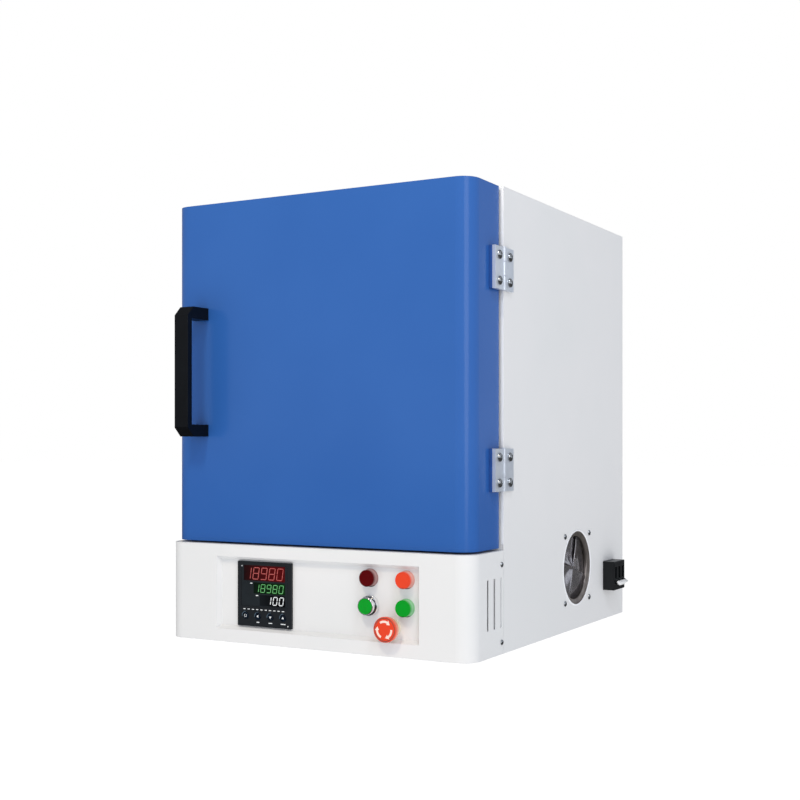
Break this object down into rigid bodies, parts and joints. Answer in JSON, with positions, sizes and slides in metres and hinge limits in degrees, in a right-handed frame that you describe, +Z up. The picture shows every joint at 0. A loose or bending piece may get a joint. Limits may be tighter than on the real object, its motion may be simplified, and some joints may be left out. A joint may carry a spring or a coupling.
{
  "type": "muffle furnace",
  "caption": "Bench muffle furnace: side-hinged insulated door and fibre chamber above a base with a controller, lamps, push buttons, fan and breaker.",
  "frame": {"origin": "middle of the floor rectangle that the furnace covers, at the bottom of its feet", "axes": "+Z up, +Y from the door towards the rear cover, +X towards the side with the fan, breaker and hinges"},
  "size_m": [0.5474, 0.67, 0.6645],
  "materials": {
    "case_paint": "light grey powder coat, satin",
    "door_paint": "mid blue powder coat, satin",
    "handle_plastic": "black moulded plastic, fine texture",
    "galvanised_sheet": "zinc-coated sheet",
    "stainless_sheet": "brushed stainless sheet",
    "fibre_board": "vacuum-formed ceramic fibre, matt",
    "hearth_ceramic": "fired cordierite, matt",
    "seal_rope": "braided ceramic fibre rope",
    "heating_wire": "oxidised resistance wire",
    "probe_steel": "heat-tinted steel sheath",
    "hinge_steel": "satin zinc alloy",
    "screw_steel": "bright zinc-plated steel",
    "packer_plastic": "grey plastic packer",
    "fan_casting": "die-cast frame, satin",
    "fan_blade_metal": "pressed blades, bright",
    "motor_black": "black enamel",
    "breaker_plastic": "black thermoset",
    "lever_plastic": "white moulded plastic",
    "meter_plastic": "black ABS",
    "display_window": "smoked acrylic",
    "key_rubber": "grey-blue keypad plastic",
    "clamp_steel": "zinc-plated steel",
    "lens_heating": "dark red lens, unlit",
    "lens_power": "orange-red lens",
    "lens_running": "green lens",
    "lamp_plastic": "black nylon",
    "bezel_chrome": "satin chrome ring",
    "button_green": "green moulded cap",
    "stop_red": "red moulded head",
    "stop_black": "black nylon collar",
    "sink_aluminium": "extruded fins",
    "relay_plastic": "off-white thermoset",
    "terminal_plastic": "black phenolic",
    "foot_rubber": "black rubber",
    "gland_nylon": "black nylon",
    "magnet_ferrite": "ferrite block"
  },
  "bodies": {
    "cabinet": {"base_tray": "case_paint", "breaker_body": "breaker_plastic", "cable_gland": "gland_nylon", "contact_blocks": "lamp_plastic", "controller_bezel": "meter_plastic", "controller_case": "meter_plastic", "controller_clamps": "clamp_steel", "controller_window": "display_window", "deck": "galvanised_sheet", "door_magnet": "magnet_ferrite", "fan_frame": "fan_casting", "fan_motor": "motor_black", "fan_screws": "screw_steel", "fascia": "case_paint", "fascia_screws": "screw_steel", "feet": "foot_rubber", "floor_insulation": "fibre_board", "front_frame": "case_paint", "gland_nut": "gland_nylon", "hearth_plate": "hearth_ceramic", "heat_sink": "sink_aluminium", "heating_coils": "heating_wire", "heating_lens": "lens_heating", "hinge_case_leaves": "hinge_steel", "hinge_case_screws": "screw_steel", "hinge_pins": "hinge_steel", "inner_shell": "galvanised_sheet", "lamp_bodies": "lamp_plastic", "outer_case": "case_paint", "panel_nuts": "lamp_plastic", "power_lens": "lens_power", "rear_cover": "case_paint", "rear_insulation": "fibre_board", "rear_screws": "screw_steel", "roof_insulation": "fibre_board", "running_lens": "lens_running", "side_insulation": "fibre_board", "solid_state_relay": "relay_plastic", "start_button_bezel": "bezel_chrome", "stop_collar": "stop_black", "terminal_strip": "terminal_plastic", "thermocouple": "probe_steel"},
    "door": {"door_shell": "door_paint", "door_liner": "stainless_sheet", "door_insulation": "fibre_board", "door_plug": "fibre_board", "door_seal": "seal_rope", "door_handle": "handle_plastic", "hinge_door_leaves": "hinge_steel", "hinge_packers": "packer_plastic", "hinge_door_screws": "screw_steel"},
    "fan_rotor": {"fan_rotor": "fan_blade_metal"},
    "start_button": {"start_button_cap": "button_green"},
    "stop_plunger": {"stop_plunger": "stop_black"},
    "stop_head": {"stop_head": "stop_red"},
    "mode_key": {"mode_key": "key_rubber"},
    "shift_key": {"shift_key": "key_rubber"},
    "down_key": {"down_key": "key_rubber"},
    "up_key": {"up_key": "key_rubber"},
    "breaker_lever": {"breaker_lever": "lever_plastic"}
  },
  "joints": [
    {"name": "door_hinge", "type": "hinge", "parent": "cabinet", "child": "door", "pos_m": [0.2482, -0.1983, 0.406], "axis": [0, 0, 1], "range_deg": [0, 120]},
    {"name": "fan_spin", "type": "hinge", "parent": "cabinet", "child": "fan_rotor", "pos_m": [0.2267, 0.093, 0.103], "axis": [1, 0, 0], "continuous": true},
    {"name": "start_button_press", "type": "slide", "parent": "cabinet", "child": "start_button", "axis": [0, 1, 0], "range_m": [0, 0.0035], "stiffness_N_per_m": 400, "springref_m": -0.00175},
    {"name": "stop_push", "type": "slide", "parent": "cabinet", "child": "stop_plunger", "axis": [0, 1, 0], "range_m": [0, 0.005]},
    {"name": "stop_twist", "type": "hinge", "parent": "stop_plunger", "child": "stop_head", "pos_m": [0.1185, -0.311, 0.0456], "axis": [0, 1, 0], "range_deg": [0, 45], "stiffness_Nm_per_rad": 0.2},
    {"name": "mode_key_press", "type": "slide", "parent": "cabinet", "child": "mode_key", "axis": [0, 1, 0], "range_m": [0, 0.0006], "stiffness_N_per_m": 900, "springref_m": -0.0003},
    {"name": "shift_key_press", "type": "slide", "parent": "cabinet", "child": "shift_key", "axis": [0, 1, 0], "range_m": [0, 0.0006], "stiffness_N_per_m": 900, "springref_m": -0.0003},
    {"name": "down_key_press", "type": "slide", "parent": "cabinet", "child": "down_key", "axis": [0, 1, 0], "range_m": [0, 0.0006], "stiffness_N_per_m": 900, "springref_m": -0.0003},
    {"name": "up_key_press", "type": "slide", "parent": "cabinet", "child": "up_key", "axis": [0, 1, 0], "range_m": [0, 0.0006], "stiffness_N_per_m": 900, "springref_m": -0.0003},
    {"name": "breaker_throw", "type": "hinge", "parent": "cabinet", "child": "breaker_lever", "pos_m": [0.2507, 0.238, 0.079], "axis": [0, -1, 0], "range_deg": [0, 68]}
  ]
}
